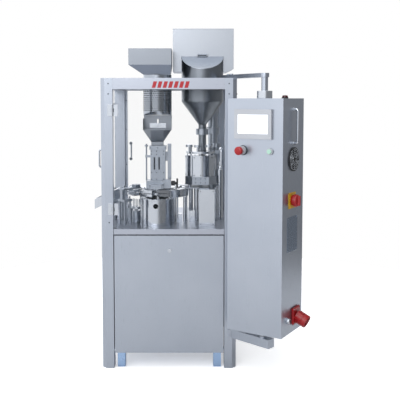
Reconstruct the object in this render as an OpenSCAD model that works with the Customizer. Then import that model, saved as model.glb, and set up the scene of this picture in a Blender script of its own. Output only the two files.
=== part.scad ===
// Automatic capsule filling machine on a closed cabinet frame, with a swinging control cabinet.
// Millimetres, +Z up, front towards -Y. Modules are drawn in machine coordinates: X = 0 on the
// centre of the frame, Y = 0 on the front face of the posts, Z = 0 on the floor.
// place() then moves the whole machine so that the origin is the bottom centre of its box.

/* [Frame] */
// Width over the corner posts
frame_w = 680; // [560:10:800]
// Depth over the corner posts
frame_d = 720; // [600:10:860]
// Height of the frame top above the floor
frame_h = 1474; // [1300:1:1600]
// Side of a corner post
post = 60; // [45:1:80]
// Chamfer on the outer edge of a post
post_chamfer = 20; // [5:1:25]
// Height of the top beams
beam_h = 56; // [40:1:80]
// Working height of the table top
table_z = 716; // [650:1:780]
// Thickness of the table plate
table_t = 27; // [16:1:40]
// Lower edge of the sheet panels
panel_z = 80; // [60:1:120]
// Sheet metal thickness
sheet = 2; // [1.5:0.5:3]
// Side of a square foot tube
leg = 40; // [30:1:50]

/* [Doors] */
// Thickness of the clear panes
pane_t = 6; // [5:1:10]
// Length of a door hinge
hinge_h = 58; // [40:1:80]
// Height of a door handle
handle_h = 94; // [80:1:140]
// How far the handles stand out
handle_out = 30; // [25:1:45]
// Bar diameter of the handles
handle_bar = 10; // [8:1:14]

/* [Control cabinet] */
// Width of the cabinet front
cab_w = 294; // [240:1:340]
// Depth of the cabinet
cab_d = 245; // [200:1:300]
// Underside of the cabinet
cab_bottom = 227; // [180:1:300]
// Top of the cabinet
cab_top = 1373; // [1200:1:1400]
// Resting swing angle of the cabinet
cab_turn = 31.5; // [28:0.5:40]
// Swing axis to the right of the frame centre
pivot_x = 464; // [440:1:500]
// Swing axis behind the front face (negative is in front)
pivot_y = -120; // [-160:1:-100]
// Swing axis from the left edge of the cabinet
pivot_u = 175; // [140:1:200]
// Swing axis behind the cabinet front
pivot_v = 47; // [40:1:70]
// Diameter of the swing pipe
pipe_d = 32; // [26:1:42]
// Width of the upper arm
arm_w = 42; // [36:1:60]

/* [Powder side] */
// Width of the powder bin
bin_w = 326; // [260:1:340]
// Depth of the powder bin
bin_d = 280; // [200:1:320]
// Height of the powder bin
bin_h = 226.5; // [160:0.5:260]
// Diameter of the powder hopper
powder_d = 224; // [180:1:240]
// Diameter of the auger tube
tube_d = 42; // [36:1:50]
// Diameter of the dosing housing
dose_d = 165; // [150:1:180]
// Number of dosing stations
dose_n = 6; // [5:1:6]

/* [Capsule side] */
// Width of the capsule hopper
caps_w = 222; // [180:1:222]
// Depth of the capsule hopper
caps_d = 200; // [150:1:240]
// Diameter of the sieve drum
drum_d = 150; // [120:1:150]
// Number of turret stations
stations = 10; // [8:1:10]
// Capsules held in each segment
rows = 5; // [3:1:5]
// Capsule bore diameter
bore_d = 7; // [5:0.5:8]
// Diameter of the round guard under the turret
guard_d = 180; // [140:1:180]

/* [Fits] */
// Radial clearance of a running fit
fit = 0.05; // [0.02:0.01:0.1]
// Clearance between neighbouring moving parts
gap = 0.5; // [0.4:0.1:1]

/* [Hidden] */
$fn = 64;
hw = frame_w / 2;
inner = hw - post;
pane_z0 = table_z + 4;
pane_z1 = frame_h - beam_h - 4;
turret_x = -73;
turret_y = 320;
seg_r0 = 134;
seg_r1 = 170;
seg_rm = (seg_r0 + seg_r1) / 2;
seg_z = 858;
dose_x = 162;
dose_y = 300;
col_x = 232;
col_y = 410;
hop_x = 172;
hop_top = 1599;
hop_front = 1525;
hop_tilt = atan((hop_top - hop_front) / (powder_d / 2));
bin_x = 13.6;
bin_z = 1515;
drum_x = -67;
drum_y = 250;
chute_x = -67.7;
sort_x = -64.5;
sort_y = 250;
lf_x = pivot_x - pivot_u * cos(cab_turn) - pivot_v * sin(cab_turn);
lf_y = pivot_y + pivot_u * sin(cab_turn) - pivot_v * cos(cab_turn);
shift_x = 151.47;
shift_y = 263.87;
steel = [0.74, 0.77, 0.8];
dark = [0.25, 0.27, 0.29];
clear = [0.8, 0.9, 0.95, 0.35];
red = [0.75, 0.1, 0.08];

// ---------- helpers ----------

// Moves a module from machine coordinates to the origin of the part.
module place() {
  translate([-shift_x, -shift_y, 0]) children();
}

// Cabinet coordinates: x along the front, y into the cabinet, z above the floor.
module cab() {
  translate([lf_x, lf_y, 0]) rotate([0, 0, -cab_turn]) children();
}

// Box between two corners.
module box(a, b) {
  translate(a) cube([b[0] - a[0], b[1] - a[1], b[2] - a[2]]);
}

// Upright cylinder at x, y between two heights.
module rod(x, y, z0, z1, r) {
  translate([x, y, z0]) cylinder(r = r, h = z1 - z0);
}

// Cylinder along X between two stations.
module rod_x(x0, x1, y, z, r) {
  translate([x0, y, z]) rotate([0, 90, 0]) cylinder(r = r, h = x1 - x0);
}

// Cylinder along Y between two stations.
module rod_y(x, y0, y1, z, r) {
  translate([x, y0, z]) rotate([-90, 0, 0]) cylinder(r = r, h = y1 - y0);
}

// Door frame of reference: x away from the hinge, y inwards, origin on the post edge.
module front_ref() {
  translate([-inner, 0, 0]) children();
}
module left_ref() {
  translate([-hw, frame_d - post, 0]) rotate([0, 0, -90]) children();
}
module rear_ref() {
  translate([inner, frame_d, 0]) rotate([0, 0, 180]) children();
}

// Fixed half of a door hinge with its pin.
module hinge_fixed(z) {
  difference() {
    union() {
      box([-25, -3, z], [-6, 0, z + hinge_h]);
      for (k = [0, 1]) {
        box([-8, -3, z + k * (hinge_h - 19)], [0, 0, z + 19 + k * (hinge_h - 19)]);
        rod(0, -6, z + k * (hinge_h - 19), z + 19 + k * (hinge_h - 19), 5);
      }
      rod(0, -6, z, z + hinge_h, 2.5);
    }
  }
}

// Moving half of a door hinge: leaf and middle knuckle.
module hinge_moving(z) {
  difference() {
    union() {
      box([6, -3, z], [27, 0, z + hinge_h]);
      box([0, -3, z + 19.4], [8, 0, z + hinge_h - 19.4]);
      rod(0, -6, z + 19.4, z + hinge_h - 19.4, 5);
    }
    rod(0, -6, z, z + hinge_h, 2.5 + fit);
  }
}

// Upright D handle on a face at y = 0, standing out towards -y, at station x.
module d_handle(x, z0, z1, out, bar) {
  rod(x, -out + bar / 2, z0, z1, bar / 2);
  for (z = [z0 + bar, z1 - bar])
    rod_y(x, -out + bar + 0.2, 0, z, bar / 2 - 1);
}

// Lug hinge along X: fixed lugs and pin, centred on x.
module lugs(x, y, z, y0, y1) {
  for (s = [-1, 1])
    box([x + s * 27 - 3, y0, z - 5], [x + s * 27 + 3, y1, z + 5]);
  rod_x(x - 30, x + 30, y, z, 2.5);
}

// Lug hinge along X: moving sleeve.
module sleeve(x, y, z) {
  difference() {
    rod_x(x - 23.5, x + 23.5, y, z, 4.5);
    rod_x(x - 24, x + 24, y, z, 2.5 + fit);
  }
}

// ---------- frame ----------

module post_section() {
  polygon([[0, 0], [post, 0], [post, post], [0, post]]);
}

module chamfered_section() {
  polygon([[0, 0], [post - post_chamfer, 0], [post, post_chamfer], [post, post], [0, post]]);
}

module posts() {
  color(steel) {
    for (s = [0, 1])
      mirror([s, 0, 0]) {
        translate([inner, 0, 0]) linear_extrude(frame_h) chamfered_section();
        translate([inner, frame_d - post, 0]) linear_extrude(frame_h) post_section();
        box([inner - 14, frame_d - 36, table_z], [inner - 0.2, frame_d - 20, frame_h - beam_h - 1]);
      }
  }
}

// A pair of roof panels, in front of and behind the centre line of the opening beside them.
module top_panel(x0, x1, y) {
  for (part = [[post + 0.2, y - 0.2], [y + 0.2, frame_d - post - 0.2]])
    difference() {
      box([x0 + 0.2, part[0], frame_h - 10], [x1 - 0.2, part[1], frame_h - 4]);
      rod(drum_x, drum_y, frame_h - 12, frame_h, drum_d / 2 + 1);
      rod(hop_x, dose_y, frame_h - 12, frame_h, powder_d / 2 + 1);
    }
}

module top_frame() {
  z0 = frame_h - beam_h;
  color(steel) {
    box([-inner, 0, z0], [inner, post, frame_h]);
    box([-inner, frame_d - post, z0], [inner, frame_d, frame_h]);
    box([-hw, post, z0], [-inner, frame_d - post, frame_h]);
    difference() {
      box([inner, post, z0], [hw, frame_d - post, frame_h]);
      rod(hop_x, dose_y, z0 - 1, frame_h + 1, powder_d / 2 + 0.5);
    }
    top_panel(-inner, drum_x, drum_y);
    top_panel(drum_x, 45, drum_y);
    top_panel(45, hop_x, dose_y);
    top_panel(hop_x, inner, dose_y);
  }
}

module table_plate() {
  e = post + gap;
  color(steel)
    difference() {
      box([-hw + 2, 2, table_z - table_t], [hw - 2, frame_d - 2, table_z]);
      for (x = [-hw, hw - e], y = [0, frame_d - e])
        box([x - 1, y - 1, 600], [x + e + 1, y + e + 1, 800]);
      rod(turret_x, turret_y, 600, 800, 42);
      rod(dose_x, dose_y, 600, 800, 20);
      rod(turret_x - seg_rm, turret_y, 600, 800, 8 + fit);
      translate([turret_x, turret_y, 0]) rotate([0, 0, 225]) rod(seg_rm, 0, 600, 800, 8 + fit);
    }
}

module base() {
  color(steel) {
    for (x = [-265, 265 - leg], y = [20, frame_d - leg - 30])
      box([x, y, 0], [x + leg, y + leg, panel_z + 4]);
    box([-inner + 1, 24, panel_z + 4.2], [inner - 1, frame_d - 24, panel_z + 16]);
  }
}

module lower_panels() {
  top = table_z - table_t - 5.5;
  color(steel) {
    for (x = [-hw + 2, hw - 2 - sheet])
      box([x, post + 1, panel_z], [x + sheet, frame_d - post - 1, top]);
    box([-inner + 1, frame_d - 4, panel_z], [inner - 1, frame_d - 4 + sheet, top]);
  }
}

module right_window() {
  color(clear)
    box([hw - pane_t, post + gap, pane_z0], [hw, frame_d - post - gap, pane_z1]);
}

module hinge_leaves() {
  color(steel) {
    for (z = [789, 1285]) {
      front_ref() hinge_fixed(z);
      left_ref() hinge_fixed(z);
      rear_ref() hinge_fixed(z);
    }
    for (s = [-1, 1])
      rod_x(s * 275 - 5, s * 275 + 5, 8, panel_z + 12, 4);
  }
}

// ---------- arms of the control cabinet ----------

module upper_arm() {
  sx = 300;
  sy = 200;
  turn = atan2(pivot_y - sy, pivot_x - sx);
  run = norm([pivot_x - sx, pivot_y - sy]);
  color(steel) {
    translate([sx, sy, frame_h]) rotate([0, 0, turn]) translate([-25, -arm_w / 2, 0])
      cube([run + 25, arm_w, 20]);
    rod(pivot_x, pivot_y, frame_h, frame_h + 20, arm_w / 2);
    rod(pivot_x, pivot_y, cab_top + 8, frame_h - 0.1, pipe_d / 2);
    for (k = [0.03, 0.13])
      translate([sx + k * (pivot_x - sx), sy + k * (pivot_y - sy), frame_h + 20.1])
        cylinder(r = 8, h = 6);
  }
}

module lower_arm() {
  ax = hw - post_chamfer / 2;
  ay = post_chamfer / 2;
  run = norm([pivot_x - ax, pivot_y - ay]);
  turn = atan2(pivot_y - ay, pivot_x - ax);
  color(steel) {
    translate([ax, ay, 160]) rotate([0, 0, turn]) translate([0.8, -22, 0])
      cube([run + 51.4, 44, 44]);
    rod(pivot_x, pivot_y, 204.1, 212, 20);
    rod(pivot_x, pivot_y, 212.1, cab_bottom + 12, 10);
    for (z = [168, 196])
      rod_y(302, -6, 0, z, 6);
  }
}

// ---------- powder side ----------

module bin_profile(w) {
  r = bin_x + bin_w;
  polygon([[bin_x + w, bin_z + w], [r - 32 - w / 2, bin_z + w], [r - w, bin_z + 15 + w / 2],
    [r - w, bin_z + bin_h + 2 * w], [bin_x + w, bin_z + bin_h + 2 * w]]);
}

module powder_bin() {
  color(steel) {
    difference() {
      translate([0, dose_y + bin_d, 0]) rotate([90, 0, 0]) linear_extrude(bin_d) bin_profile(0);
      translate([0, dose_y + bin_d - sheet, 0]) rotate([90, 0, 0])
        linear_extrude(bin_d - 2 * sheet) bin_profile(sheet);
      intersection() {
        rod(hop_x, dose_y, bin_z - 5, bin_z + 5, powder_d / 2 - sheet);
        box([0, dose_y + sheet, bin_z - 5], [400, 500, bin_z + 5]);
      }
    }
    for (x = [bin_x + 60, bin_x + bin_w - 60])
      lugs(x, dose_y + bin_d + 7, bin_z + bin_h - 6, dose_y + bin_d, dose_y + bin_d + 12);
    lugs(hop_x, dose_y - 7, hop_top + 8, dose_y - 12, dose_y);
  }
}

module bin_lid() {
  z = bin_z + bin_h + gap;
  color(steel) {
    box([bin_x, dose_y, z], [bin_x + bin_w, dose_y + bin_d, z + 3]);
    for (x = [bin_x + 60, bin_x + bin_w - 60]) {
      sleeve(x, dose_y + bin_d + 7, bin_z + bin_h - 6);
      box([x - 23, dose_y + bin_d + 5.5, z - 4], [x + 23, dose_y + bin_d + 8.5, z + 1]);
      box([x - 23, dose_y + bin_d - 4, z], [x + 23, dose_y + bin_d + 9, z + 3]);
    }
  }
}

module hopper_profile() {
  r = powder_d / 2;
  t = tube_d / 2;
  polygon([[r, hop_top + 20], [r, 1356], [t, 1232], [t, 1072], [t - sheet, 1072],
    [t - sheet, 1233], [r - sheet, 1357], [r - sheet, hop_top + 20]]);
}

module powder_hopper() {
  color(steel) {
    difference() {
      translate([hop_x, dose_y, 0]) rotate_extrude() hopper_profile();
      box([0, dose_y, bin_z], [400, 600, 1800]);
      intersection() {
        box([0, 0, 1400], [400, dose_y + 1, 1900]);
        translate([hop_x, dose_y, hop_top]) rotate([hop_tilt, 0, 0])
          translate([-200, -300, 0]) cube([400, 500, 300]);
      }
    }
    difference() {
      intersection() {
        rod(hop_x, dose_y, frame_h - 4, frame_h + 2, powder_d / 2 + 12);
        box([0, 0, frame_h - 5], [inner - 0.5, frame_d, frame_h + 5]);
      }
      rod(hop_x, dose_y, frame_h - 5, frame_h + 5, powder_d / 2 + 0.2);
    }
  }
}

module hopper_lid() {
  color(steel) {
    intersection() {
      rod(hop_x, dose_y, 1400, 1800, powder_d / 2 + 2);
      translate([hop_x, dose_y, hop_top]) rotate([hop_tilt, 0, 0])
        translate([-200, -200, gap]) cube([400, 190, 3]);
    }
    sleeve(hop_x, dose_y - 7, hop_top + 8);
    translate([hop_x, dose_y, hop_top]) rotate([hop_tilt, 0, 0])
      translate([-22, -16, gap + 3]) cube([44, 8, 4]);
  }
}

module auger_screw() {
  color(steel) {
    rod(hop_x, dose_y, 1078, 1500, 6);
    translate([hop_x, dose_y, 1078])
      linear_extrude(height = 250, twist = -360 * 6, slices = 144, $fn = 0)
        polygon([[-17, -1.5], [17, -1.5], [17, 1.5], [-17, 1.5]]);
    for (s = [0 : 2])
      translate([hop_x, dose_y, 1360 + s * 40]) rotate([0, 0, s * 60]) translate([-80, -5, 0])
        cube([160, 10, 6]);
  }
}

module support_column() {
  cx = col_x;
  cy = col_y;
  color(steel) {
    rod(cx, cy, table_z, 1330, 26);
    difference() {
      union() {
        box([cx - 60, dose_y - 16, 1178], [cx - 22, cy - 22, 1210]);
        box([cx - 60, cy - 60, 1178], [cx, cy, 1210]);
        rod(cx, cy, 1174, 1214, 36);
        rod(hop_x, dose_y, 1178, 1210, 34);
      }
      rod(cx, cy, 1100, 1300, 26.2);
      rod(hop_x, dose_y, 1100, 1300, tube_d / 2 + 0.2);
    }
  }
  color(dark) {
    rod(cx + 20, cy - 44, 1090, 1106, 5);
    rod(cx + 20, cy - 44, 1106, 1128, 22);
    box([cx - 2, cy - 58, 1070], [cx + 42, cy - 27, 1090]);
    box([cx - 20, cy + 27, 1210], [cx + 30, cy + 100, 1290]);
    rod(cx + 5, cy + 64, 1290, 1380, 32);
  }
}

// ---------- capsule feed ----------

module taper(w, d, z1, nw, nd, z0, y) {
  hull() {
    translate([drum_x - 34.25 - w / 2, y - d / 2, z1]) cube([w, d, 0.1]);
    translate([drum_x - nw / 2, drum_y - nd / 2, z0]) cube([nw, nd, 0.1]);
  }
}

module capsule_hopper() {
  cx = drum_x - 34.25;
  z = 1546;
  color(steel)
    difference() {
      union() {
        box([cx - caps_w / 2, drum_y - caps_d / 2, z], [cx + caps_w / 2, drum_y + caps_d / 2, 1630]);
        taper(caps_w, caps_d, z, 140, 140, 1496, drum_y);
      }
      box([cx - caps_w / 2 + sheet, drum_y - caps_d / 2 + sheet, z],
        [cx + caps_w / 2 - sheet, drum_y + caps_d / 2 - sheet, 1700]);
      taper(caps_w - 2 * sheet, caps_d - 2 * sheet, z + 0.1, 136, 136, 1495, drum_y);
    }
}

module sieve_drum() {
  r = drum_d / 2;
  color(steel)
    difference() {
      union() {
        rod(drum_x, drum_y, 1283, 1496, r);
        rod(drum_x, drum_y, frame_h - 4, frame_h + 2, r + 14);
      }
      rod(drum_x, drum_y, 1200, 1600, r - sheet);
      translate([drum_x, drum_y, 1166]) rotate([90, 0, 0]) cylinder(r = 139, h = 100);
    }
}

module chute_octagon(w, y0, y1) {
  c = w * 0.27;
  polygon([[-w / 2, y0 + c], [-w / 2 + c, y0], [w / 2 - c, y0], [w / 2, y0 + c],
    [w / 2, y1], [-w / 2, y1]]);
}

module feed_chute() {
  color(steel) {
    difference() {
      union() {
        hull() {
          translate([chute_x, 0, 1208]) linear_extrude(0.1) chute_octagon(151, 176, 300);
          translate([chute_x - 32.5, 226, 1143]) cube([65, 50, 0.1]);
        }
        box([chute_x - 32.5, 226, 1124], [chute_x + 32.5, 276, 1143.1]);
      }
      hull() {
        translate([chute_x, 0, 1208.1]) linear_extrude(0.1) chute_octagon(147, 178, 298);
        translate([chute_x - 30.5, 228, 1143]) cube([61, 46, 0.1]);
      }
      box([chute_x - 30.5, 228, 1100], [chute_x + 30.5, 274, 1143.2]);
    }
    difference() {
      box([chute_x - 75.5, 298, 1208.1], [chute_x + 75.5, 300, 1282.5]);
      box([chute_x - 4, 290, 1220], [chute_x + 4, 310, 1262]);
    }
    for (s = [-1, 1])
      box([chute_x + s * 74.5 - 1, 216, 1208.1], [chute_x + s * 74.5 + 1, 298, 1266]);
  }
}

module feed_gate() {
  color(steel) {
    box([chute_x - 44, 293, 1212], [chute_x + 44, 295, 1240]);
    rod_y(chute_x, 281, 305, 1226, 3);
    rod_y(chute_x, 284, 293, 1226, 6);
    box([chute_x - 13, 285, 1223], [chute_x + 13, 288, 1229]);
    rod_y(chute_x, 302, 305, 1226, 7);
  }
}

module sorter_frame() {
  x0 = sort_x - 39.5;
  x1 = sort_x + 39.5;
  color(steel) {
    difference() {
      union() {
        box([x0, sort_y - 35, 937], [x1, sort_y + 35, 1102]);
        box([x0 - 5, sort_y - 43, 1102], [x1 + 5, sort_y + 43, 1123]);
        box([x0 + 8, sort_y + 35, 1000], [x1 - 8, turret_y - 26.4, 1050]);
      }
      box([x0 + 6, sort_y - 27, 900], [x1 - 6, sort_y + 27, 1200]);
      for (x = [-83, -58])
        box([x - 4, sort_y - 40, 995], [x + 4, sort_y - 20, 1062]);
    }
    rod(x0 - 22, sort_y - 20, 937, 1132, 4);
    rod(x0 - 22, sort_y - 20, 1118, 1126, 9);
    box([x0 - 28, sort_y - 26, 1060], [x0 - 0.2, sort_y - 14, 1072]);
    box([x1 + 11, sort_y - 5, 944], [x1 + 31, sort_y + 5, 1132]);
    box([x1 + 0.2, sort_y - 5, 1040], [x1 + 10.8, sort_y + 5, 1090]);
    rod_y(x1 + 21, sort_y - 13, sort_y - 5, 1116, 8);
  }
}

module capsule_magazine() {
  x0 = sort_x - 39.5 + 6 + gap;
  x1 = sort_x + 39.5 - 6 - gap;
  color(dark)
    difference() {
      box([x0, sort_y - 27 + gap, 945], [x1, sort_y + 27 - gap, 1086]);
      for (k = [0 : rows - 1])
        rod(sort_x + (k - (rows - 1) / 2) * 12, sort_y - 10, 900, 1100, bore_d / 2 + 0.5);
    }
}

module sorter_block() {
  color(steel)
    difference() {
      union() {
        box([-126, 196, 899], [-25, 290, 936.8]);
        box([-110, 157, 899], [-36, 195.8, 922]);
        box([-24.8, 184, 899], [5.5, 226, 946]);
      }
      for (k = [0 : rows - 1])
        rod(turret_x + (k - (rows - 1) / 2) * 12, turret_y - seg_rm, 890, 930, bore_d / 2 + 0.5);
      rod_x(-20, 10, 205, 925, 7 + fit);
      rod(turret_x, turret_y, 890, 1000, 27);
    }
}

module clamp_handle() {
  color(dark) {
    rod_x(-16, 38, 205, 925, 7);
    rod_x(7, 27, 205, 925, 13);
    rod(38, 205, 900, 950, 4.5);
  }
}

// ---------- turret ----------

module turret_cover() {
  color(steel) {
    rod(turret_x, turret_y, 612, 1060, 26);
    difference() {
      rod(turret_x, turret_y, 893.5, 897, 124);
      rod(turret_x, turret_y, 890, 900, 26.2);
    }
  }
}

module turret_disc() {
  color(steel)
    translate([turret_x, turret_y, 0])
      difference() {
        union() {
          difference() {
            rod(0, 0, 860, 872, seg_r0 - 0.2);
            rod(0, 0, 850, 880, 54.2);
          }
          rod(0, 0, 836, 889, 54);
          rod(0, 0, 616, 835.8, 40);
        }
        rod(0, 0, 600, 900, 26 + fit);
        for (k = [0 : stations - 1])
          rotate([0, 0, (k + 0.5) * 360 / stations]) rod(96, 0, 850, 900, 11);
      }
}

module segment(z0, z1) {
  difference() {
    box([seg_r0, -34, z0], [seg_r1, 34, z1]);
    for (k = [0 : rows - 1])
      rod(seg_rm, (k - (rows - 1) / 2) * 12, z0 - 1, z1 + 1, bore_d / 2);
  }
}

module segments() {
  color(steel)
    translate([turret_x, turret_y, 0])
      for (k = [0 : stations - 1])
        rotate([0, 0, k * 360 / stations]) {
          segment(seg_z, seg_z + 15);
          segment(seg_z + 19, seg_z + 34);
        }
}

module turret_guards() {
  gx = -66;
  gy = 166;
  color(steel) {
    difference() {
      union() {
        rod(gx, gy, table_z, 850, guard_d / 2);
        rod(gx, gy, 846, 853, guard_d / 2 + 2);
      }
      rod(gx, gy, table_z + 6, 846, guard_d / 2 - 3);
      rod(gx, gy, 840, 860, 60);
      rod_y(gx - 4, 60, 140, 820, 13);
    }
    translate([turret_x, turret_y, 852]) rotate([0, 0, -66])
      rotate_extrude(angle = 46) translate([176.5, 0]) square([3, 40]);
    for (a = [-51, -26])
      translate([turret_x, turret_y, 0]) rotate([0, 0, a]) rod(178, 0, table_z, 852, 5);
  }
}

// Closing station on the left, ejecting station at the front left, and the foot of the chute.
module station_housings() {
  color(steel) {
    for (x = [-302, -262], y = [298, 342])
      rod(x, y, table_z, 807.9, 7);
    box([-312, 288, 808], [-246, 352, 822]);
    box([-302, 302, 822.1], [-264, 338, 846]);
    rod(-283, 320, 846.1, 860, 9);
    rod(-322, 218, table_z, 821.5, 6);
    translate([turret_x, turret_y, 0]) rotate([0, 0, 225]) {
      for (x = [211, 247], y = [-20, 20])
        rod(x, y, table_z, 835.9, 6.5);
      box([202, -28, 836], [256, 28, 848]);
      box([238, -9, 848.1], [254, 9, 896.9]);
      box([134, -22, 897.2], [256, 22, 904]);
      box([136, -16, 904.1], [168, 16, 918]);
      difference() {
        rod(seg_rm, 0, table_z, 778, 22);
        rod(seg_rm, 0, 700, 800, 8 + fit);
      }
    }
    difference() {
      rod(turret_x - seg_rm, turret_y, table_z, 778, 20);
      rod(turret_x - seg_rm, turret_y, 700, 800, 8 + fit);
    }
  }
}

module station_pins(x) {
  rod(x, 0, 640, 790, 8);
  box([x - 13, -27, 788], [x + 13, 27, 800]);
  for (k = [0 : rows - 1])
    rod(x, (k - (rows - 1) / 2) * 12, 800, 840, 2.5);
}

module closing_pins() {
  color(steel)
    translate([turret_x, turret_y, 0]) rotate([0, 0, 180]) station_pins(seg_rm);
}

module ejector_pins() {
  color(steel)
    translate([turret_x, turret_y, 0]) rotate([0, 0, 225]) station_pins(seg_rm);
}

// Sloping strip of the chute between two stations, z0 above its floor line.
module chute_strip(x0, x1, z0, z1, y, w) {
  slope = 75 / 162;
  translate([0, y + w, 0]) rotate([90, 0, 0]) linear_extrude(w)
    polygon([[x0, 790 + z0 + slope * x0], [x1, 790 + z0 + slope * x1],
      [x1, 790 + z1 + slope * x1], [x0, 790 + z1 + slope * x0]]);
}

module discharge_chute() {
  color(steel)
    translate([-398, 190, 0]) {
      chute_strip(0, 155, 0, 50, 0, 2);
      chute_strip(0, 155, 0, 50, 54, 2);
      chute_strip(0, 155, 0, 2.2, 2.2, 51.6);
      chute_strip(60, 155, 47.8, 50, 2.2, 51.6);
    }
}

// ---------- dosing ----------

module octagon(r) {
  c = r * 0.45;
  polygon([[-r, -r + c], [-r + c, -r], [r - c, -r], [r, -r + c], [r, r - c], [r - c, r],
    [-r + c, r], [-r, r - c]]);
}

module dosing_base() {
  color(dark)
    difference() {
      union() {
        translate([dose_x, dose_y, 914]) linear_extrude(42) octagon(82);
        for (x = [-58, 58], y = [-58, 58])
          rod(dose_x + x, dose_y + y, 902.1, 913.9, 8);
        box([76, 198, 897.5], [246, 402, 902]);
      }
      rod(dose_x, dose_y, 919, 1000, 73);
      rod(dose_x, dose_y, 800, 1000, 14);
      rod(turret_x, turret_y, 880, 1000, 128);
      rod(col_x, col_y, 880, 1000, 27);
    }
}

module dosing_disc() {
  color(steel)
    translate([dose_x, dose_y, 0])
      difference() {
        union() {
          rod(0, 0, 921, 933, 70);
          rod(0, 0, 606, 921, 12);
        }
        for (k = [0 : dose_n - 1], j = [-1 : 1])
          rotate([0, 0, k * 360 / dose_n + j * 12]) rod(58, 0, 915, 940, 3);
      }
}

module dosing_housing() {
  color(steel)
    difference() {
      rod(dose_x, dose_y, 956, 1069, dose_d / 2);
      rod(dose_x, dose_y, 950, 1063, dose_d / 2 - 4);
      rod(hop_x, dose_y, 1000, 1100, tube_d / 2 + 1);
      for (k = [0 : dose_n - 1])
        translate([dose_x, dose_y, 0]) rotate([0, 0, 30 + k * 60]) rod(60, 0, 1000, 1100, 5 + fit);
    }
}

module tamping_head() {
  color(steel) {
    difference() {
      rod(dose_x, dose_y, 1078, 1090, 78);
      rod(hop_x, dose_y, 1000, 1100, 32);
    }
    for (k = [0 : dose_n - 1])
      translate([dose_x, dose_y, 0]) rotate([0, 0, 30 + k * 60]) rod(60, 0, 938, 1078, 5);
    for (p = [[101, 268], [146, 236], [206, 244]]) {
      rod(p[0], p[1], 1090, 1113, 5);
      rod(p[0], p[1], 1113, 1126, 19);
    }
  }
}

module station_columns() {
  color(steel) {
    for (x = [25, 76])
      rod(x, 213, table_z, 851.5, 7);
    box([35, 192, table_z], [64, 228, 763]);
    box([101, 200, table_z], [131, 230, 779]);
    rod(110, 384, table_z, 897.4, 13);
    rod(142, 392, table_z, 897.4, 16);
    rod(266, 300, table_z, 990, 18);
    rod(266, 300, 990, 1004, 10);
    box([152, 90, table_z], [233, 190, 905]);
    for (s = [-1, 1])
      rod(192 + s * 52, 250, table_z, 897.4, 9);
  }
}

// ---------- drive in the lower cabinet ----------

module main_motor() {
  z = panel_z + 16;
  color([0.2, 0.35, 0.5]) {
    box([90, 480, z], [250, 620, z + 14]);
    rod_x(70, 270, 550, z + 110, 82);
    rod_x(270, 300, 550, z + 110, 60);
    box([120, 540, z + 180], [220, 620, z + 230]);
    box([-40, 490, z], [60, 610, z + 190]);
    rod_x(60, 70, 550, z + 110, 60);
  }
}

module indexers() {
  z = panel_z + 16;
  color(dark) {
    difference() {
      box([turret_x - 100, turret_y - 95, 480], [turret_x + 100, turret_y + 95, 660]);
      rod(turret_x, turret_y, 612, 700, 40 + fit);
      rod(turret_x - seg_rm, turret_y, 400, 700, 12);
    }
    difference() {
      box([dose_x - 66, dose_y - 66, 500], [dose_x + 66, dose_y + 66, 650]);
      rod(dose_x, dose_y, 600, 700, 12 + fit);
    }
    for (x = [-240, -20, 220])
      difference() {
        box([x, 300, z], [x + 26, 390, 340]);
        rod_x(x - 1, x + 27, 345, 290, 18 + fit);
      }
    for (x = [-160, 0])
      box([x, 236, z], [x + 16, 264, 479.8]);
    box([150.5, 236, z], [170, 262, 499.8]);
  }
}

module camshaft() {
  color(steel) {
    rod_x(-252, 262, 345, 290, 18);
    for (k = [0 : 3])
      rod_x(-190 + k * 44, -172 + k * 44, 345 + 14 * cos(k * 90), 290 + 14 * sin(k * 90), 62);
    for (k = [0 : 2])
      rod_x(30 + k * 52, 46 + k * 52, 345 + 12 * cos(k * 120), 290 + 12 * sin(k * 120), 56);
    rod_x(188, 206, 345, 290, 80);
  }
}

module vacuum_pump() {
  z = panel_z + 16;
  color([0.35, 0.4, 0.42]) {
    box([-262, 470, z], [-92, 640, z + 12]);
    rod_x(-262, -150, 555, z + 90, 70);
    box([-149.8, 500, z + 12.2], [-92, 610, z + 150]);
    rod(-206, 555, z + 150, z + 230, 24);
  }
}

// ---------- doors ----------

module front_door() {
  color(clear)
    front_ref() box([4, 0, pane_z0], [2 * inner - 4, pane_t, pane_z1]);
}

module front_door_fittings() {
  color(steel)
    front_ref() {
      hinge_moving(789);
      hinge_moving(1285);
      d_handle(541, 1026, 1026 + handle_h, handle_out, handle_bar);
    }
}

module left_door() {
  w = frame_d - 2 * post;
  color(clear)
    left_ref()
      difference() {
        box([4, 0, pane_z0], [w - 2, pane_t, pane_z1]);
        box([406, -1, 776], [480, pane_t + 1, 884]);
      }
}

module left_door_fittings() {
  color(steel)
    left_ref() {
      hinge_moving(789);
      hinge_moving(1285);
      d_handle(516, 1015, 1015 + handle_h, handle_out, handle_bar);
    }
}

module rear_door() {
  color(clear)
    rear_ref() box([4, 0, pane_z0], [2 * inner - 4, pane_t, pane_z1]);
}

module rear_door_fittings() {
  color(steel)
    rear_ref() {
      hinge_moving(789);
      hinge_moving(1285);
      d_handle(530, 1010, 1010 + handle_h, handle_out, handle_bar);
    }
}

module front_panel() {
  top = table_z - table_t - 5.5;
  color(steel)
    difference() {
      union() {
        box([-276, 0, panel_z], [276, sheet, top]);
        for (x = [-276, 276 - sheet])
          box([x, sheet, panel_z + 3], [x + sheet, 15, top - 3]);
        box([-274, sheet, panel_z], [274, 9, panel_z + sheet]);
        box([-274, sheet, top - sheet], [274, 12, top]);
        rod_x(-276, -268, 8, panel_z + 12, 7);
        rod_x(268, 276, 8, panel_z + 12, 7);
        rod_y(4, 0, 8, 607, 13);
      }
      rod_x(-300, 300, 8, panel_z + 12, 4 + fit);
      rod_y(4, -5, 30, 607, 8 + fit);
    }
}

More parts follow.
